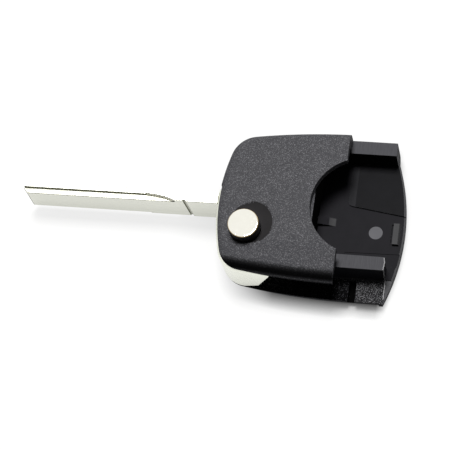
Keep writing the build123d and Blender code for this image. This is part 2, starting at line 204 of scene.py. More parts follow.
def grain_group():
    """Height, random tone and painted glints of a moulded grain."""
    group, given, result = new_group(
        "moulded grain",
        [("Vector", "NodeSocketVector", None), ("Pips", "NodeSocketFloat", 3600.0),
         ("Glint Share", "NodeSocketFloat", 0.12)],
        [("Height", "NodeSocketFloat"), ("Shade", "NodeSocketFloat"), ("Glint", "NodeSocketFloat")])
    pips = add_node(group, "ShaderNodeTexVoronoi", feature="SMOOTH_F1",
                    inputs={"Smoothness": 0.5, "Randomness": 1.0})
    cells = add_node(group, "ShaderNodeTexVoronoi", feature="F1")
    coarse = add_node(group, "ShaderNodeTexNoise", inputs={"Detail": 3.0, "Roughness": 0.6})
    for node in (pips, cells, coarse):
        wire(group, given, "Vector", node, "Vector")
    wire(group, given, "Pips", pips, "Scale")
    for node, ratio in ((cells, cell_ratio), (coarse, coarse_ratio)):
        scale = math_node(group, "MULTIPLY", given.outputs["Pips"], ratio)
        group.links.new(scale, node.inputs["Scale"])
    dome = math_node(group, "SUBTRACT", 1.0, pips.outputs["Distance"], clamp=True)
    rough = math_node(group, "MULTIPLY", coarse.outputs[0], coarse_height)
    group.links.new(math_node(group, "ADD", dome, rough), result.inputs["Height"])
    group.links.new(coarse.outputs[0], result.inputs["Shade"])
    # The glint mask picks a random share of the cells for a painted highlight, lightest at their
    # middles.
    pick = add_node(group, "ShaderNodeSeparateColor")
    wire(group, cells, "Color", pick, "Color")
    limit = math_node(group, "SUBTRACT", 1.0, given.outputs["Glint Share"])
    chosen = math_node(group, "GREATER_THAN", pick.outputs[0], limit)
    spread = math_node(group, "MULTIPLY", cells.outputs["Distance"], glint_fade)
    middle = math_node(group, "SUBTRACT", glint_level, spread, clamp=True)
    group.links.new(math_node(group, "MULTIPLY", chosen, middle), result.inputs["Glint"])
    return group


moulded_grain = grain_group()
print("grain group sockets:", [item.name for item in moulded_grain.interface.items_tree])

# %% [markdown]
# ## Cutter lines as a node group
#
# A milled or ground face carries fine parallel lines. Noise that is squeezed across the lines
# and drawn out along them gives both their height and their slight change of tone. The lines
# run along X of the vector that comes in, so a Mapping node outside turns them where needed.

# %% Line group
wide_ratio = 0.2


def line_group():
    """Height and shade of fine parallel tool lines along X."""
    group, given, result = new_group(
        "tool lines",
        [("Vector", "NodeSocketVector", None), ("Lines", "NodeSocketFloat", 5000.0),
         ("Stretch", "NodeSocketFloat", 0.02)],
        [("Height", "NodeSocketFloat"), ("Shade", "NodeSocketFloat")])
    parts = add_node(group, "ShaderNodeSeparateXYZ")
    wire(group, given, "Vector", parts, "Vector")
    drawn = math_node(group, "MULTIPLY", parts.outputs["X"], given.outputs["Stretch"])
    joined = add_node(group, "ShaderNodeCombineXYZ")
    group.links.new(drawn, joined.inputs["X"])
    wire(group, parts, "Y", joined, "Y")
    wire(group, parts, "Z", joined, "Z")
    fine = add_node(group, "ShaderNodeTexNoise", inputs={"Detail": 2.0, "Roughness": 0.7})
    wide = add_node(group, "ShaderNodeTexNoise", inputs={"Detail": 1.0})
    for node in (fine, wide):
        wire(group, joined, "Vector", node, "Vector")
    wire(group, given, "Lines", fine, "Scale")
    wide_scale = math_node(group, "MULTIPLY", given.outputs["Lines"], wide_ratio)
    group.links.new(wide_scale, wide.inputs["Scale"])
    wire(group, fine, 0, result, "Height")
    wire(group, wide, 0, result, "Shade")
    return group


tool_lines = line_group()
print("line group sockets:", [item.name for item in tool_lines.interface.items_tree])

# %% [markdown]
# ## The start of every material
#
# Each finish has a Principled shader, object coordinates to lay its pattern on, and a bump. The
# coordinates belong to the object and not to the picture, so a pattern stays on its piece when
# the key is folded.

# %% Material helpers
def new_material(name, roughness):
    """A material with its shader and object coordinates."""
    material = bpy.data.materials.new(name)
    material.use_nodes = True
    tree = material.node_tree
    tree.nodes.clear()
    shader = add_node(tree, "ShaderNodeBsdfPrincipled", inputs={"Roughness": roughness})
    output = add_node(tree, "ShaderNodeOutputMaterial")
    wire(tree, shader, "BSDF", output, "Surface")
    place = add_node(tree, "ShaderNodeTexCoord")
    return material, tree, shader, place.outputs["Object"]


def add_group(tree, group, vector, inputs):
    """A group node laid on a vector, with its own values."""
    made = add_node(tree, "ShaderNodeGroup", node_tree=group, inputs=inputs)
    tree.links.new(vector, made.inputs["Vector"])
    return made


def bump(tree, shader, height, strength, distance):
    """Feeds the shader's normal with a Bump node on a height."""
    made = add_node(tree, "ShaderNodeBump", inputs={"Strength": strength, "Distance": distance})
    tree.links.new(height, made.inputs["Height"])
    wire(tree, made, "Normal", shader, "Normal")


print("material helpers ready")

# %% [markdown]
# ## Grained plastic, and painted shade along the south edge
#
# Where the mould is grained the surface scatters light and reads as charcoal, with a scatter of
# brighter pips. A strong gloss would wash the black out, so the glints are painted highlights, a
# light colour of their own on a share of the pips.
#
# Along its south edge the real case rolls over further in than the solid does, and that roll turns
# away from the lamp. Its shade is painted: the grain's tone fades to black there, but for one thin
# painted highlight close to the rim, where the roll catches light from the table. Both follow the
# long bow of the case, so the share of tone that is left is read from a ramp over the distance in
# from that bow.

# %% Grained plastic
bow_radius = 200.0 * mm
bow_middle = Vector((25.0 * mm, lower_low.y + bow_radius, 0.0))
# Width and ramp of the painted shade along the south bow: near black over the roll, with one
# painted highlight line close to the rim.
bow_shade_width = 4.0 * mm
bow_shade_steps = ((0.0, 0.02), (0.03, 0.04), (0.07, 0.85), (0.1, 0.9), (0.15, 0.2), (0.22, 0.02),
              (0.4, 0.02), (0.54, 0.1), (0.67, 0.34), (0.8, 0.85), (0.92, 1.0))


def bow_shade_edge(tree, place):
    """Share of the grain's tone that is left at each distance in from the south bow: painted shade,
    with one painted highlight line near the rim.
    """
    in_plan = add_node(tree, "ShaderNodeVectorMath", operation="MULTIPLY")
    tree.links.new(place, in_plan.inputs[0])
    in_plan.inputs[1].default_value = (1, 1, 0)
    away = add_node(tree, "ShaderNodeVectorMath", operation="DISTANCE")
    wire(tree, in_plan, "Vector", away, 0)
    away.inputs[1].default_value = bow_middle
    inset = math_node(tree, "SUBTRACT", bow_radius, away.outputs["Value"])
    ramp = add_node(tree, "ShaderNodeValToRGB")
    tree.links.new(math_node(tree, "DIVIDE", inset, bow_shade_width, clamp=True), ramp.inputs["Fac"])
    stops = ramp.color_ramp.elements
    ready_stops = len(stops)
    for index, (position, share) in enumerate(bow_shade_steps):
        stop = stops[index] if index < ready_stops else stops.new(position)
        stop.position = position
        stop.color = (share, share, share, 1)
    return ramp.outputs["Color"]


def grained_plastic(name, dark, light, glint, pips, share, depth, gloss=0.06, bow_shade=False):
    """Etched plastic: two tones, pips with a painted glint and a bump, and with bow_shade a painted
    shade along the south bow.
    """
    material, tree, shader, place = new_material(name, roughness=0.62)
    grain = add_group(tree, moulded_grain, place, {"Pips": pips, "Glint Share": share})
    tone = mix_colour(tree, grain.outputs["Shade"], seen(*dark), seen(*light))
    # The chosen pips take the glint colour, a painted highlight.
    colour = mix_colour(tree, grain.outputs["Glint"], tone, seen(*glint))
    # With bow_shade the tone fades to black along the south bow, a painted shade.
    if bow_shade:
        colour = mix_colour(tree, bow_shade_edge(tree, place), (0, 0, 0, 1), colour)
    tree.links.new(colour, shader.inputs["Base Color"])
    shader.inputs["Specular IOR Level"].default_value = gloss
    bump(tree, shader, grain.outputs["Height"], strength=0.6, distance=depth)
    return material


case_look = {"dark": (58, 58, 60), "light": (80, 80, 84), "glint": (146, 146, 150),
             "pips": 5600.0, "share": 0.32, "depth": 0.05 * mm}
case_grain = grained_plastic("case grain", **case_look)
# The case grain with painted shade and a painted highlight line along its south bow.
bow_shade_grain = grained_plastic("handled case grain", **case_look, gloss=0.01, bow_shade=True)
ledge_grain = grained_plastic("ledge grain", (12, 12, 13), (34, 34, 36), (156, 156, 160),
                              pips=5800.0, share=0.4, depth=0.08 * mm)
# West of its groove the ledge lies in the shade of the case's lip, so its grain is nearly black:
# painted shade.
shaded_ledge_grain = grained_plastic("shaded ledge grain", (2, 2, 3), (12, 12, 13), (96, 96, 100),
                                   pips=5800.0, share=0.22, depth=0.08 * mm, gloss=0.01)
print("the worn strip is", bow_shade_width / mm, "mm wide, with", len(bow_shade_steps), "steps")

# %% [markdown]
# ## Polished and lined plastic
#
# Where the mould is polished, as in the thumb dish and the bay, the same plastic reads much darker.
# Each small face of the bay also has its own tone, a painted light or shade, because it looks at
# another part of the room. The tops of the arms were left with the lines of the cutter that made
# the mould. One black would look painted on, so each of these places has a finish with a faint
# cloud of two tones, and the names say where each one goes.

# %% Smooth and lined plastic
def smooth_finish(name, dark, light, roughness=0.5, gloss=0.08):
    """A finish without grain or metal: a faint uneven tone and a soft orange peel."""
    material, tree, shader, place = new_material(name, roughness)
    cloud = add_node(tree, "ShaderNodeTexNoise", inputs={"Scale": 420.0, "Detail": 4.0})
    tree.links.new(place, cloud.inputs["Vector"])
    tree.links.new(mix_colour(tree, cloud.outputs[0], seen(*dark), seen(*light)),
                   shader.inputs["Base Color"])
    shader.inputs["Specular IOR Level"].default_value = gloss
    bump(tree, shader, cloud.outputs[0], strength=0.15, distance=0.02 * mm)
    return material


def lined_plastic(name, dark, light, turn):
    """Plastic that copies the cutter lines of its mould."""
    material, tree, shader, place = new_material(name, roughness=0.55)
    turned = add_node(tree, "ShaderNodeMapping", inputs={"Rotation": (0, 0, turn)})
    tree.links.new(place, turned.inputs["Vector"])
    lines = add_group(tree, tool_lines, turned.outputs["Vector"],
                      {"Lines": 4200.0, "Stretch": 0.08})
    tree.links.new(mix_colour(tree, lines.outputs["Height"], seen(*dark), seen(*light)),
                   shader.inputs["Base Color"])
    shader.inputs["Specular IOR Level"].default_value = 0.08
    bump(tree, shader, lines.outputs["Height"], strength=0.25, distance=0.02 * mm)
    return material


# The floor and walls of the bay: smooth dark plastic, partly its own colour and partly painted
# shade of the bay.
bay_plastic = smooth_finish("bay plastic", (23, 23, 26), (31, 30, 34), gloss=0.03)
# The pad is darker than the floor around it, a painted shade from the north arm, and its west lead
# is lighter, a painted sheen.
pad_plastic = smooth_finish("pad plastic", (16, 16, 18), (24, 24, 27), gloss=0.03)
lead_plastic = smooth_finish("pad lead plastic", (22, 22, 25), (36, 36, 39),
                             roughness=0.45, gloss=0.04)
rib_plastic = smooth_finish("rib end plastic", (40, 40, 42), (56, 56, 58),
                            roughness=0.45, gloss=0.06)
# Broken edges are lighter than the faces beside them: a painted highlight where the bevel catches
# the light.
edge_highlight_plastic = smooth_finish("edge plastic", (84, 84, 87), (108, 108, 111), gloss=0.1)
# A brighter colour for the end of the south arm and for the torn flash: a painted highlight along
# that ridge.
ridge_highlight_plastic = smooth_finish("worn edge plastic", (130, 130, 132), (190, 190, 192), gloss=0.1)
tab_plastic = smooth_finish("tab plastic", (46, 46, 48), (60, 60, 62), gloss=0.1)
# The south face of the arm is nearly black: painted shade.
side_plastic = smooth_finish("arm side plastic", (7, 7, 9), (13, 13, 16), gloss=0.03)
# Near black for walls and hollows that lie in deep shade: painted shade.
painted_shade_plastic = smooth_finish("groove plastic", (2, 2, 2), (5, 5, 5), roughness=0.7, gloss=0.01)
tail_plastic = smooth_finish("tongue side plastic", (50, 50, 52), (88, 88, 91), gloss=0.06)
dish_plastic = smooth_finish("dish plastic", (38, 37, 38), (47, 46, 47), roughness=0.45)
arm_plastic = lined_plastic("arm top plastic", (54, 54, 58), (80, 80, 84), math.radians(90))
# The rim chamfer of the tongue is lighter than the bay: a painted highlight along its edge.
rim_plastic = smooth_finish("rim plastic", (76, 76, 78), (96, 96, 98))
# The ejector mark is lighter than the floor around it: a painted reflection in its polished face.
mark_plastic = smooth_finish("ejector mark", (90, 90, 94), (100, 100, 104), roughness=0.6)
tray_plastic = smooth_finish("tray plastic", (34, 34, 35), (44, 44, 45))
print("plastics:", [finish.name for finish in bpy.data.materials if " plastic" in finish.name])

# %% [markdown]
# ## The metals
#
# The blade and the hub are nickel plated, a warm white, and the button is chrome, which is
# brighter. Metal shows little but what it mirrors, so the roughness and the fine lines do the work:
# lengthwise on the lands of the blade, slightly cloudy on the cast hub, almost none on the button.
# The side of the button mirrors the black dish, so it gets a near-black chrome, a painted
# reflection, and the narrow walls of the cuts in the blade get a dark nickel, a painted shade.
#
# A plated edge is so narrow that it mirrors one small patch of the room, dark on the near edges of
# this blade and yellowish on the far ones. With a metal shader it would mirror the pale room of
# this scene instead, so the edges of the blade and of the button get a matt colour with that
# reflection painted in: dark on the near edges, yellowish on the far ones and warm on the button's
# rounded edge.

# %% Metal materials
line_share = 0.16


def metal(name, dark, light, roughness, density, stretch, depth):
    """Plated or milled metal with tool lines in its tone, roughness and height."""
    material, tree, shader, place = new_material(name, roughness)
    lines = add_group(tree, tool_lines, place, {"Lines": density, "Stretch": stretch})
    tree.links.new(mix_colour(tree, lines.outputs["Shade"], seen(*dark), seen(*light)),
                   shader.inputs["Base Color"])
    shader.inputs["Metallic"].default_value = 1.0
    spread = math_node(tree, "MULTIPLY", lines.outputs["Height"], line_share)
    tree.links.new(math_node(tree, "ADD", spread, roughness - line_share / 2),
                   shader.inputs["Roughness"])
    bump(tree, shader, lines.outputs["Height"], strength=0.3, distance=depth)
    return material


blade_nickel = metal("blade nickel", (206, 207, 196), (219, 220, 210),
                     roughness=0.24, density=3000.0, stretch=0.03, depth=0.004 * mm)
land_nickel = metal("blade land nickel", (232, 231, 220), (246, 245, 236),
                    roughness=0.3, density=5200.0, stretch=0.02, depth=0.008 * mm)
groove_nickel = metal("blade groove nickel", (206, 206, 192), (230, 229, 218),
                      roughness=0.26, density=5200.0, stretch=0.02, depth=0.01 * mm)
hub_nickel = metal("hub nickel", (227, 229, 218), (233, 234, 223),
                   roughness=0.28, density=1500.0, stretch=0.8, depth=0.002 * mm)
button_chrome = metal("button chrome", (246, 244, 234), (252, 250, 242),
                      roughness=0.02, density=1200.0, stretch=0.9, depth=0.0005 * mm)
# Walls of the milled cuts are a dark nickel: painted shade.
wall_shade_nickel = metal("cutter wall nickel", (96, 98, 78), (128, 130, 108),
                    roughness=0.4, density=5200.0, stretch=0.02, depth=0.01 * mm)
slot_nickel = metal("end groove nickel", (172, 172, 162), (196, 196, 186),
                    roughness=0.55, density=5200.0, stretch=0.02, depth=0.01 * mm)
# Near edges of the blade get a dark matt colour, a painted reflection of a dark patch of the room.
near_edge_reflection = smooth_finish("shaded blade edge", (30, 32, 14), (52, 54, 34),
                               roughness=0.6, gloss=0.0)
# Far edges of the blade get a pale yellowish matt colour, a painted reflection.
far_edge_reflection = smooth_finish("lit blade edge", (130, 130, 80), (150, 150, 104),
                              roughness=0.6, gloss=0.0)
# The button's rounded edge gets a warm matt colour, a painted reflection.
button_edge_reflection = smooth_finish("button edge tarnish", (176, 152, 108), (200, 180, 140),
                                 roughness=0.4, gloss=0.3)
# The side of the button gets a near-black chrome, a painted reflection of the black dish.
button_side_reflection = metal("button side chrome", (24, 22, 18), (40, 37, 32),
                           roughness=0.3, density=600.0, stretch=0.9, depth=0.001 * mm)
spring_steel = metal("spring steel", (150, 150, 150), (180, 180, 178),
                     roughness=0.35, density=3000.0, stretch=0.5, depth=0.01 * mm)
plunger_steel = metal("plunger steel", (160, 158, 152), (184, 182, 176),
                      roughness=0.4, density=2400.0, stretch=0.9, depth=0.02 * mm)
metal_words = (" nickel", " chrome", " steel")
print("metals:", [made.name for made in bpy.data.materials if made.name.endswith(metal_words)])

# %% [markdown]
# ## From exact solids to pieces with broken edges
#
# No moulded or plated edge is sharp. Each node's mesh is copied, its loose triangles are
# merged, its flat areas are dissolved back into whole faces, and a narrow bevel is put on the
# real edges. The copy then stands for the node. Rounding the edges in the solids would give the
# same look, but it would cost the part hundreds of faces that only a camera needs. Shading is
# smooth except across edges that stay sharper than a chosen angle.

# %% Piece builder
merge_gap = 0.0005 * mm
flat_angle = math.radians(0.3)
edge_angle = math.radians(28)
body_of_node = {}
for body_name, members in record["behaviour"]["bodies"].items():
    for member in members:
        body_of_node[member] = body_name


def link_piece(name, data):
    """Puts a mesh or a curve into the scene as an object at the origin."""
    piece = bpy.data.objects.new(name, data)
    bpy.context.scene.collection.objects.link(piece)
    return piece


def baked_mesh(piece):
    """The mesh of a piece with its modifiers worked in."""
    bpy.context.view_layer.update()
    graph = bpy.context.evaluated_depsgraph_get()
    mesh = bpy.data.meshes.new_from_object(piece.evaluated_get(graph))
    mesh.name = piece.name
    return mesh


def work_in(piece, kind, **settings):
    """Puts one modifier on a piece and works it into the mesh."""
    modifier = piece.modifiers.new(kind.lower(), kind)
    for name, value in settings.items():
        setattr(modifier, name, value)
    piece.data = baked_mesh(piece)
    piece.modifiers.clear()


def whole_faces(node, name):
    """A copy of a node's triangles, merged and dissolved back into whole faces."""
    work = bmesh.new()
    work.from_mesh(frame["nodes"][node].data)
    bmesh.ops.remove_doubles(work, verts=work.verts, dist=merge_gap)
    bmesh.ops.dissolve_limit(work, angle_limit=flat_angle, verts=work.verts, edges=work.edges)
    mesh = bpy.data.meshes.new(name)
    work.to_mesh(mesh)
    work.free()
    for layer in ("custom_normal", "sharp_face"):
        if layer in mesh.attributes:
            mesh.attributes.remove(mesh.attributes[layer])
    mesh.materials.clear()
    return mesh


def dressed(node, name, softness, finishes, choose=None, choose_edge=None, steps=2):
    """A copy of a CAD node with broken edges, and a finish chosen for each face and edge."""
    mesh = whole_faces(node, name)
    for finish in finishes:
        mesh.materials.append(finish)
    for face in mesh.polygons:
        face.material_index = finishes.index(choose(face.center, face.normal)) if choose else 0
    piece = link_piece(name, mesh)
    if softness > 0:
        work_in(piece, "BEVEL", width=softness, segments=steps, limit_method="ANGLE",
                angle_limit=edge_angle, miter_outer="MITER_ARC", material=0 if choose_edge else -1)
    if choose_edge:
        for face in piece.data.polygons:
            if face.material_index == 0:
                face.material_index = finishes.index(choose_edge(face.center, face.normal))
    piece.data.shade_smooth()
    piece.data.set_sharp_from_angle(angle=edge_angle)
    work_in(piece, "WEIGHTED_NORMAL", mode="FACE_AREA", weight=100, keep_sharp=True)
    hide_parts(node)
    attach(piece, body_of_node[node])
    print(name, "has", len(piece.data.polygons), "faces")


print("bodies:", sorted(set(body_of_node.values())))

# %% [markdown]
# ## The upper half of the case
#
# The upper half is a crowned shell. It is grained outside and smooth inside, and its thumb dish is
# polished. Faces could be painted one by one, but the solids may change, so a small function looks
# at where a face is and which way it points, and names its finish. A face's normal says which way
# it points: its Z is 1 where the face is level and 0 where it is a wall. The dish is what lies near
# the button and below the crown, and the strip beside the south bow takes the grain with the
# painted shade.

# %% Upper case
squarely = 0.9
mostly = 0.5
dish_slope = 0.3
dish_place = Vector((0.9, 1.4)) * mm
dish_reach = 5.6 * mm
dish_sunk = 0.04 * mm
dome_radius = 330.0 * mm
dome_place = Vector((upper_high.x, case_middle_y))
under_top_z = 13.0 * mm
# South of this line the upper half takes the grain with the painted bow shade.
bow_shade_end_y = -2.0 * mm
case_softness = 0.12 * mm


def crown_z(x, y):
    """Height of the crowned top over a place."""
    return upper_high.z - ((x - dome_place.x) ** 2 + (y - dome_place.y) ** 2) / (2 * dome_radius)


def upper_finish(centre, normal):
    """Finish of one face of the upper half."""
    beside_button = (Vector((centre.x, centre.y)) - dish_place).length < dish_reach
    below_crown = centre.z < crown_z(centre.x, centre.y) - dish_sunk
    if beside_button and below_crown and normal.z > dish_slope:
        return dish_plastic
    if centre.z < under_top_z and normal.z < -mostly:
        return bay_plastic
    return bow_shade_grain if centre.y < bow_shade_end_y else case_grain


def upper_edge(centre, normal):
    """Finish of every broken edge of the upper half: a painted highlight."""
    return edge_highlight_plastic


dressed("upper_case", "upper_case_shell", case_softness,
        [edge_highlight_plastic, case_grain, bow_shade_grain, dish_plastic, bay_plastic],
        upper_finish, upper_edge)

# %% [markdown]
# ## The lower half of the case
#
# The lower half has the most finishes: grain outside and on the ledge, lines on top of the arms, a
# smooth bay with a raised pad and an ejector mark, and a rim and a tab on the tongue. Several of
# them are painted light and shade: the faces of the bay get their own tones, the mark, the rim and
# the west lead of the pad are lighter, and the pad, the south face of the arm and the ledge west of
# its groove are darker. One long rule would be hard to read, so each region has a short function
# that names a finish or passes, and the first region that answers decides. Walls and hollows in
# deep shade get a nearly black painted shade, because the real ones show no light at all.

# %% Lower case
step_size = 0.05 * mm
level_slope = 0.95
mark_z = bay_floor_z - 0.08 * mm
pad_west_x = 21.9 * mm
pad_top_z = bay_floor_z + 0.42 * mm
pad_low_z = pad_top_z - 0.14 * mm
pad_slope = 0.9995
rib_end_x = 19.6 * mm
rib_end_slope = 0.965
groove_west_x = 24.55 * mm
groove_east_x = 26.25 * mm
groove_floor_z = 0.3 * ledge_z
bay_shade_end_x = groove_east_x + 2 * mm
bay_wall_z = 0.8 * ledge_z
ledge_slope = 0.8
rim_start_x = 33.0 * mm
rim_slope = 0.4
tab_west_x = 33.3 * mm
tab_north_y = 8.5 * mm


def bay_finish(centre, normal):
    """Finish of a face in the open bay, or None."""
    if centre.x <= bay_west_x or not arm_south_y - step_size < centre.y < arm_north_y + step_size:
        return None
    # The ejector mark takes its painted reflection.
    if normal.z > squarely and abs(centre.z - mark_z) < 0.2 * step_size:
        return mark_plastic
    if centre.x < rib_end_x and squarely < normal.z < rib_end_slope:
        return rib_plastic
    # Walls of the bay that face east or south, away from the lamp, get the painted shade.
    in_shade = normal.x > squarely or normal.y < -squarely
    if centre.x < bay_shade_end_x and centre.z > bay_floor_z and in_shade:
        return painted_shade_plastic
    return bay_plastic if centre.x < arm_end_x and centre.z > bay_wall_z else None


def tongue_finish(centre, normal):
    """Finish of a face of the tongue or its tab, or None."""
    if centre.x > tab_west_x and centre.z > bay_floor_z + step_size and centre.y < tab_north_y:
        # The west and south sides of the tab get the painted shade.
        return tab_plastic if normal.x > -mostly and normal.y > -mostly else painted_shade_plastic
    # The rim chamfer takes its painted highlight.
    if centre.x > rim_start_x and rim_slope < normal.z < level_slope:
        return rim_plastic
    if centre.x > arm_end_x and centre.y < slot_wall_y and normal.z > level_slope:
        return tail_plastic
    return bay_plastic if centre.x > arm_end_x and normal.z > mostly else None


def ledge_finish(centre, normal):
    """Finish of a face of the ledge south of the arms, its groove or its wall, or None."""
    on_ledge = centre.y < slot_wall_y
    west_of_groove = centre.x < groove_west_x
    in_groove = groove_west_x - step_size < centre.x < groove_east_x + step_size
    # The walls and floor of the ledge's groove get the painted shade.
    if on_ledge and in_groove and groove_floor_z < centre.z < ledge_z - step_size:
        return painted_shade_plastic
    at_ledge_level = abs(centre.z - ledge_z) < 0.4 * step_size
    # West of the groove the ledge takes the grain with the painted shade.
    if west_of_groove and at_ledge_level and normal.z > level_slope:
        return shaded_ledge_grain
    if on_ledge and normal.z > ledge_slope:
        return ledge_grain if centre.x > groove_west_x else shaded_ledge_grain
    # The south face of the arm above the ledge takes its painted shade.
    return side_plastic if centre.y < slot_wall_y + step_size and centre.z > ledge_z else None


def lower_finish(centre, normal):
    """Finish of one face of the lower half."""
    if normal.z > squarely and abs(centre.z - parting_z) < step_size:
        return arm_plastic
    on_pad = centre.x > pad_west_x and pad_low_z < centre.z < pad_top_z + step_size
    # Painted shade on the pad, and a painted sheen on its west lead.
    if on_pad and normal.z > squarely:
        return pad_plastic if normal.z > pad_slope else lead_plastic
    for region in (bay_finish, tongue_finish, ledge_finish):
        finish = region(centre, normal)
        if finish is not None:
            return finish
    return case_grain


def lower_edge(centre, normal):
    """Finish of a broken edge: a painted highlight, brightest at the arm's end, dark where the
    floor of the bay steps.
    """
    if centre.x < arm_end_x and abs(centre.z - bay_floor_z) < 2 * step_size and normal.z > 0:
        return bay_plastic
    at_end = abs(centre.x - arm_end_x) < 4 * step_size
    return ridge_highlight_plastic if at_end and centre.y < arm_south_y - step_size else edge_highlight_plastic


dressed("lower_case", "lower_case_shell", case_softness,
        [edge_highlight_plastic, ridge_highlight_plastic, case_grain, arm_plastic, mark_plastic, pad_plastic,
         lead_plastic, rib_plastic, painted_shade_plastic, rim_plastic, tail_plastic, tab_plastic,
         bay_plastic, side_plastic, ledge_grain, shaded_ledge_grain],
        lower_finish, lower_edge)

# %% [markdown]
# ## The tray for the chip
#
# The chip of the immobiliser sits in a small moulded tray beside the hub, out of sight. It is
# one plastic all over, so the builder is given a single finish and no rule.

# %% Tray
tray_softness = 0.15 * mm
dressed("chip_carrier", "chip_tray", tray_softness, [tray_plastic])

# %% [markdown]
# ## The blade
#
# The blade is a steel bar that was milled on both sides and then plated. Its lands are the long
# narrow faces that look up or down, its groove was cut last, and a slanting groove crosses it near
# the hub. Each cut left other lines, so each has its own nickel, and the narrow walls of the cuts
# get a dark nickel, a painted shade. The blade lies turned by a small angle in the case, so a
# face's place is turned back before it is compared with a size.

# %% Blade
blade_turn = math.radians(0.4)
blade_thickness = 2.95 * mm
blade_middle_y = 8.05 * mm
blade_south_y = blade_middle_y - blade_thickness / 2
blade_north_y = blade_middle_y + blade_thickness / 2
blade_softness = 0.12 * mm
mill_depth = 0.15 * mm
land_band = 0.6 * mm
tip_band = 2.0 * mm
end_groove_west_x = -16.5 * mm
end_groove_east_x = -14.8 * mm


def blade_finish(centre, normal):
    """Finish of one face of the blade."""
    place = centre.copy()
    place.rotate(Quaternion((0, 0, 1), -blade_turn))
    depth = min(place.y - blade_south_y, blade_north_y - place.y)
    in_end_groove = end_groove_west_x < place.x < end_groove_east_x and depth > mill_depth / 2
    if in_end_groove and abs(normal.z) < squarely:
        # The west wall of the end groove takes the painted shade.
        return wall_shade_nickel if normal.x < -mostly else slot_nickel
    if abs(normal.z) > squarely:
        is_land = centre.z > blade_high.z - land_band or centre.z < blade_low.z + land_band
        return land_nickel if is_land else groove_nickel
    milled = depth > mill_depth + step_size and place.x > blade_low.x + tip_band
    # Walls of the milled cuts take the painted shade.
    return wall_shade_nickel if milled and abs(normal.y) > mostly else blade_nickel


def blade_edge(centre, normal):
    """Finish of a broken edge of the blade: painted reflections, dark on the near ones and light on
    the far ones, and painted shade in the end groove.
    """
    if end_groove_west_x < centre.x < end_groove_east_x and abs(normal.z) < mostly:
        return wall_shade_nickel
    return near_edge_reflection if normal.y < 0 else far_edge_reflection


dressed("key_blade", "blade", blade_softness,
        [near_edge_reflection, far_edge_reflection, blade_nickel, land_nickel, groove_nickel, wall_shade_nickel,
         slot_nickel],
        blade_finish, blade_edge)

# %% [markdown]
# ## Helpers for pieces that grow from a rule
#
# Two small details of this key follow a rule: a row of marks along an arc, and a ragged line
# along a path. Geometry Nodes make both. One helper gives a tree its named inputs, and the other
# sets them by the sockets' identifiers, which is how a modifier knows them, and turns the result
# into a plain mesh.

# %% Geometry Nodes helpers
def add_inputs(group, inputs):
    """Named input sockets of a Geometry Nodes tree, and their identifiers by name."""
    names = {}
    for label, kind, value in inputs:
        made = group.interface.new_socket(label, in_out="INPUT", socket_type=kind)
        if value is not None:
            made.default_value = value
        names[label] = made.identifier
    group.interface.new_socket("Geometry", in_out="OUTPUT", socket_type="NodeSocketGeometry")
    return names


def grown_piece(name, base, group, names, values, node):
    """A piece made by a Geometry Nodes tree on a base object, worked into a plain mesh."""
    maker = base.modifiers.new("maker", "NODES")
    maker.node_group = group
    for label, value in values.items():
        maker[names[label]] = value
    mesh = baked_mesh(base)
    bpy.data.objects.remove(base)
    mesh.name = name
    piece = link_piece(name, mesh)
    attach(piece, body_of_node[node])
    print(name, "has", len(mesh.polygons), "faces")


print("Geometry Nodes helpers ready")

# %% [markdown]
# ## Chatter marks where the cutter ran out
#
# The lead-in groove of the blade ends in a curved wall, cut by the rim of a large round cutter.
# Such a cutter chatters as it leaves the metal, and the wall keeps a row of slanting marks.
# They repeat at one angle along an arc, so the tree sets them out: points on the arc, a thin
# bar on each, leaning in the plane of the wall.

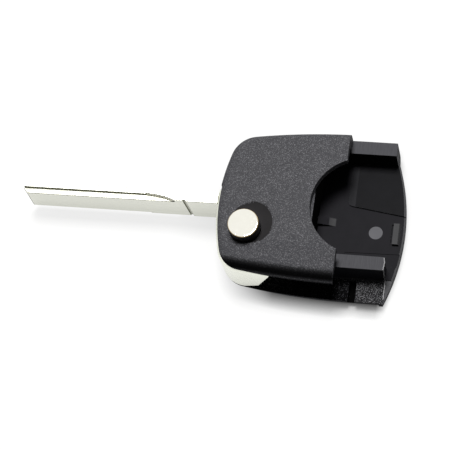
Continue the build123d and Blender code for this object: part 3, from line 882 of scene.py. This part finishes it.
# %% Chatter marks
def chatter_tree():
    """Leaning bars along an arc: count, arc, step, bar size, lean, turn and finish are inputs."""
    group = bpy.data.node_groups.new("chatter marks", "GeometryNodeTree")
    names = add_inputs(group, [
        ("Marks", "NodeSocketInt", 10), ("Arc Middle", "NodeSocketVector", None),
        ("Arc Radius", "NodeSocketFloat", 0.02), ("First Angle", "NodeSocketFloat", 1.5),
        ("Angle Step", "NodeSocketFloat", 0.03), ("Bar Length", "NodeSocketFloat", 0.001),
        ("Bar Radius", "NodeSocketFloat", 0.0001), ("Lean", "NodeSocketFloat", 0.8),
        ("Unit Turn", "NodeSocketFloat", 0.0), ("Finish", "NodeSocketMaterial", None)])
    given = group.nodes.new("NodeGroupInput")
    result = group.nodes.new("NodeGroupOutput")
    points = add_node(group, "GeometryNodePoints")
    wire(group, given, "Marks", points, "Count")
    number = add_node(group, "GeometryNodeInputIndex")
    swing = math_node(group, "MULTIPLY", number.outputs[0], given.outputs["Angle Step"])
    angle = math_node(group, "SUBTRACT", given.outputs["First Angle"], swing)
    spot = add_node(group, "ShaderNodeCombineXYZ")
    for axis, turn in (("X", "COSINE"), ("Y", "SINE")):
        share = math_node(group, turn, angle)
        reach = math_node(group, "MULTIPLY", share, given.outputs["Arc Radius"])
        group.links.new(reach, spot.inputs[axis])
    moved = add_node(group, "ShaderNodeVectorMath", operation="ADD")
    wire(group, spot, "Vector", moved, 0)
    wire(group, given, "Arc Middle", moved, 1)
    wire(group, moved, "Vector", points, "Position")
    bar = add_node(group, "GeometryNodeMeshCylinder", inputs={"Vertices": 6})
    wire(group, given, "Bar Radius", bar, "Radius")
    wire(group, given, "Bar Length", bar, "Depth")
    tilt = add_node(group, "ShaderNodeCombineXYZ")
    wire(group, given, "Lean", tilt, "X")
    group.links.new(angle, tilt.inputs["Z"])
    turned = add_node(group, "FunctionNodeEulerToRotation")
    wire(group, tilt, "Vector", turned, "Euler")
    row = add_node(group, "GeometryNodeInstanceOnPoints")
    wire(group, points, 0, row, "Points")
    wire(group, bar, "Mesh", row, "Instance")
    wire(group, turned, 0, row, "Rotation")
    real = add_node(group, "GeometryNodeRealizeInstances")
    wire(group, row, 0, real, "Geometry")
    unit = add_node(group, "GeometryNodeTransform")
    lay = add_node(group, "ShaderNodeCombineXYZ")
    wire(group, given, "Unit Turn", lay, "Z")
    wire(group, real, 0, unit, "Geometry")
    wire(group, lay, "Vector", unit, "Rotation")
    finish = add_node(group, "GeometryNodeSetMaterial")
    wire(group, unit, 0, finish, "Geometry")
    wire(group, given, "Finish", finish, "Material")
    wire(group, finish, 0, result, "Geometry")
    return group, names


cutter_radius = 19.5 * mm
cutter_middle = Vector((-25.5, 8.1 - cutter_radius / mm, 11.86)) * mm
grown_piece("blade_chatter_marks",
            link_piece("chatter_base", bpy.data.meshes.new("chatter_base")), *chatter_tree(),
            {"Marks": 10, "Arc Middle": cutter_middle, "Arc Radius": cutter_radius,
             "First Angle": math.radians(88.1), "Angle Step": math.radians(2.03),
             "Bar Length": 1.55 * mm, "Bar Radius": 0.13 * mm, "Lean": math.radians(50),
             "Unit Turn": blade_turn, "Finish": land_nickel}, "key_blade")

# %% [markdown]
# ## Torn flash at the end of the case
#
# Where the two halves of a mould meet, a thin skin of plastic creeps out. Here it was torn off
# roughly, and a ragged line is left along the end of the south arm and down the end of the ledge;
# its light colour is a painted highlight, where that ridge catches the light. A line of points in
# millimetres is the path. The tree makes it ragged with noise of a fixed seed and gives it a thin
# body, which is quicker to tune than a modelled tear.

# %% Torn flash
flash_path = [(32.8, -3.1, 9.44), (33.0, -4.2, 9.4), (32.85, -6.2, 9.36), (32.84, -6.4, 6.0),
              (32.84, -6.6, 3.6), (32.84, -7.4, 3.08), (32.84, -11.2, 3.06)]


def flash_tree():
    """A thin ragged bead along a path: spacing, radius, raggedness, seed and finish are inputs."""
    group = bpy.data.node_groups.new("torn flash", "GeometryNodeTree")
    names = add_inputs(group, [
        ("Geometry", "NodeSocketGeometry", None), ("Spacing", "NodeSocketFloat", 0.0002),
        ("Bead Radius", "NodeSocketFloat", 0.0001), ("Raggedness", "NodeSocketFloat", 0.0001),
        ("Seed", "NodeSocketFloat", 3.0), ("Finish", "NodeSocketMaterial", None)])
    given = group.nodes.new("NodeGroupInput")
    result = group.nodes.new("NodeGroupOutput")
    spaced = add_node(group, "GeometryNodeResampleCurve")
    spaced.mode = "LENGTH"
    wire(group, given, "Geometry", spaced, "Curve")
    wire(group, given, "Spacing", spaced, "Length")
    rough = add_node(group, "ShaderNodeTexNoise", noise_dimensions="4D", inputs={"Scale": 2600.0})
    wire(group, given, "Seed", rough, "W")
    centred = add_node(group, "ShaderNodeVectorMath", operation="SUBTRACT")
    centred.inputs[1].default_value = (0.5, 0.5, 0.5)
    wire(group, rough, "Color", centred, 0)
    offset = add_node(group, "ShaderNodeVectorMath", operation="SCALE")
    wire(group, centred, "Vector", offset, 0)
    wire(group, given, "Raggedness", offset, "Scale")
    moved = add_node(group, "GeometryNodeSetPosition")
    wire(group, spaced, 0, moved, "Geometry")
    wire(group, offset, "Vector", moved, "Offset")
    ring = add_node(group, "GeometryNodeCurvePrimitiveCircle", inputs={"Resolution": 6})
    wire(group, given, "Bead Radius", ring, "Radius")
    body = add_node(group, "GeometryNodeCurveToMesh", inputs={"Fill Caps": True})
    wire(group, moved, 0, body, "Curve")
    wire(group, ring, 0, body, "Profile Curve")
    real = add_node(group, "GeometryNodeRealizeInstances")
    wire(group, body, 0, real, "Geometry")
    finish = add_node(group, "GeometryNodeSetMaterial")
    wire(group, real, 0, finish, "Geometry")
    wire(group, given, "Finish", finish, "Material")
    wire(group, finish, 0, result, "Geometry")
    return group, names


def path_object(name, points):
    """A curve object with one straight-sided spline through points in millimetres."""
    data = bpy.data.curves.new(name, "CURVE")
    data.dimensions = "3D"
    spline = data.splines.new("POLY")
    spline.points.add(len(points) - 1)
    for spot, point in zip(spline.points, points):
        spot.co = (*(Vector(point) * mm), 1.0)
    return link_piece(name, data)


grown_piece("torn_flash", path_object("flash_path", flash_path), *flash_tree(),
            {"Spacing": 0.25 * mm, "Bead Radius": 0.13 * mm, "Raggedness": 0.35 * mm,
             "Seed": 3.0, "Finish": ridge_highlight_plastic}, "lower_case")

# %% [markdown]
# ## The hub and its pin
#
# The hub is cast zinc with a nickel plate. It shows only at one corner, but the whole of it is
# finished, because it swings out when the key is folded. The pin that holds the blade in it is
# plain steel with a slot, and nothing of it shows, so its bevel has a single step.

# %% Hub and pin
hub_softness = 0.1 * mm
pin_softness = 0.05 * mm
dressed("blade_hub", "hub", hub_softness, [hub_nickel])
dressed("blade_roll_pin", "roll_pin", pin_softness, [plunger_steel], steps=1)

# %% [markdown]
# ## The button
#
# The button is a drawn and plated cap. Its flat top mirrors the lamp and goes almost white, its
# side mirrors the black dish, and between them the rounded edge has a warm line. One chrome could
# give all three in a fully built room, but this studio has only one lamp, so the dark side and the
# warm edge are painted reflections, and each zone is told apart by the way a face points.

# %% Button
button_softness = 0.08 * mm
top_slope = 0.85
side_slope = 0.25


def button_finish(centre, normal):
    """Finish of one face of the button: white top, a painted warm reflection on the rounded edge, a
    painted dark reflection on the side.
    """
    if normal.z > top_slope:
        return button_chrome
    return button_edge_reflection if normal.z > side_slope else button_side_reflection


dressed("button_cap", "button", button_softness,
        [button_chrome, button_edge_reflection, button_side_reflection], button_finish)

# %% [markdown]
# ## The plunger and the spring
#
# Below the button a plunger locks the hub, and one coil spring both lifts it and turns the hub.
# Both are plain steel and sit inside the case, out of sight. The wire is round already, so it
# gets no bevel.

# %% Plunger and spring
plunger_softness = 0.1 * mm
dressed("lock_plunger", "plunger", plunger_softness, [plunger_steel], steps=1)
dressed("flip_spring", "spring", 0.0, [spring_steel])

# %% [markdown]
# ## A pale table that keeps its shadow
#
# The key lies on white. The table is lit like everything else, so it keeps the soft shadow, and a
# glow that only the camera and mirrors see lifts it to white without adding light to the object.
# Ambient occlusion takes some of the glow away near the key, a painted shadow: a wide reach darkens
# the table around the case, and a narrow one draws the dark line under the case's south edge. That
# line fades out below the hub and at the end of the arms, where the real one ends too.

# %% Table
half_table = 1.5
table_drop = 0.02 * mm
table_glow = 0.62
table_tone = (116, 116, 116)
thrown_tone = (24, 24, 24)
contact_glow = 0.26
contact_reach = 14.0 * mm
line_reach = 4.0 * mm
line_sharpness = 2.0
line_west_x = -4.0 * mm
line_east_x = 34.0 * mm
west_fade = 10.0 * mm
east_fade = 3.0 * mm


def shown_mask(tree):
    """One where a ray comes from the camera, a mirror or a glass, and zero elsewhere."""
    path = add_node(tree, "ShaderNodeLightPath")
    first = math_node(tree, "MAXIMUM", path.outputs["Is Camera Ray"], path.outputs["Is Glossy Ray"])
    return math_node(tree, "MAXIMUM", first, path.outputs["Is Transmission Ray"])


def openness(tree, reach):
    """How much of the room a place on the table sees within a reach."""
    return add_node(tree, "ShaderNodeAmbientOcclusion", inputs={"Distance": reach}).outputs["AO"]


def contact_line(tree, place):
    """Share of the glow that is left beside the case's south edge, where a painted shadow line is
    drawn.
    """
    parts = add_node(tree, "ShaderNodeSeparateXYZ")
    tree.links.new(place, parts.inputs["Vector"])
    to_east = math_node(tree, "SUBTRACT", line_east_x, parts.outputs["X"])
    to_west = math_node(tree, "SUBTRACT", parts.outputs["X"], line_west_x)
    share = math_node(tree, "MULTIPLY", math_node(tree, "DIVIDE", to_east, east_fade, clamp=True),
                      math_node(tree, "DIVIDE", to_west, west_fade, clamp=True))
    open_share = math_node(tree, "POWER", openness(tree, line_reach), line_sharpness)
    hidden = math_node(tree, "SUBTRACT", 1.0, open_share)
    return math_node(tree, "SUBTRACT", 1.0, math_node(tree, "MULTIPLY", hidden, share))


def table_material():
    """Pale table: matt white for what is seen, a darker grey for the light that it throws back."""
    material, tree, shader, place = new_material("pale table", roughness=0.9)
    shown = shown_mask(tree)
    tree.links.new(mix_colour(tree, shown, seen(*thrown_tone), seen(*table_tone)),
                   shader.inputs["Base Color"])
    shader.inputs["Specular IOR Level"].default_value = 0.0
    shader.inputs["Emission Color"].default_value = (1, 1, 1, 1)
    lifted = math_node(tree, "MULTIPLY", openness(tree, contact_reach), contact_glow)
    glow = math_node(tree, "ADD", lifted, table_glow)
    glow = math_node(tree, "MULTIPLY", glow, contact_line(tree, place))
    tree.links.new(math_node(tree, "MULTIPLY", shown, glow), shader.inputs["Emission Strength"])
    return material


table_corners = [(x * half_table, y * half_table, -table_drop)
                 for x, y in ((-1, -1), (1, -1), (1, 1), (-1, 1))]
table_mesh = bpy.data.meshes.new("table")
table_mesh.from_pydata(table_corners, [], [(0, 1, 2, 3)])
table_mesh.materials.append(table_material())
link_piece("table", table_mesh)
print("table is", 2 * half_table, "m wide")

# %% [markdown]
# ## One soft box and a dark room
#
# The photograph has short black shadows beside the arms and a soft one on the table, so there
# is one square soft box, nearly overhead and a little to the far side. More lamps would lift
# the near faces of the case, which fall into shade. The room gives hardly any light for the same
# reason, and is bright only for the camera and for what mirrors it.

# %% Sky and lamp
room_light = (0.012, 0.012, 0.012, 1)
room_seen = (0.95, 0.95, 0.94, 1)
lamp_place = Vector((0.0, 0.25, 0.968))
lamp_aim = Vector((0.0, 0.0, 0.0))
lamp_size = 0.3
lamp_power = 12.0
world = bpy.data.worlds.new("studio")
bpy.context.scene.world = world
world.use_nodes = True
sky = world.node_tree
sky.nodes.clear()
sky_output = add_node(sky, "ShaderNodeOutputWorld")
sky_light = add_node(sky, "ShaderNodeBackground")
wire(sky, sky_light, "Background", sky_output, "Surface")
sky.links.new(mix_colour(sky, shown_mask(sky), room_light, room_seen), sky_light.inputs["Color"])

lamp_data = bpy.data.lights.new("north_soft_box", "AREA")
lamp_data.shape = "SQUARE"
lamp_data.size = lamp_size
lamp_data.energy = lamp_power
lamp_data.color = (1.0, 0.995, 0.985)
lamp = bpy.data.objects.new("north_soft_box", lamp_data)
lamp.location = lamp_place
lamp.rotation_euler = (lamp_aim - lamp_place).to_track_quat("-Z", "Y").to_euler()
bpy.context.scene.collection.objects.link(lamp)
bpy.context.scene.view_settings.view_transform = "Standard"
print("lamp:", lamp.name, lamp_power, "W")
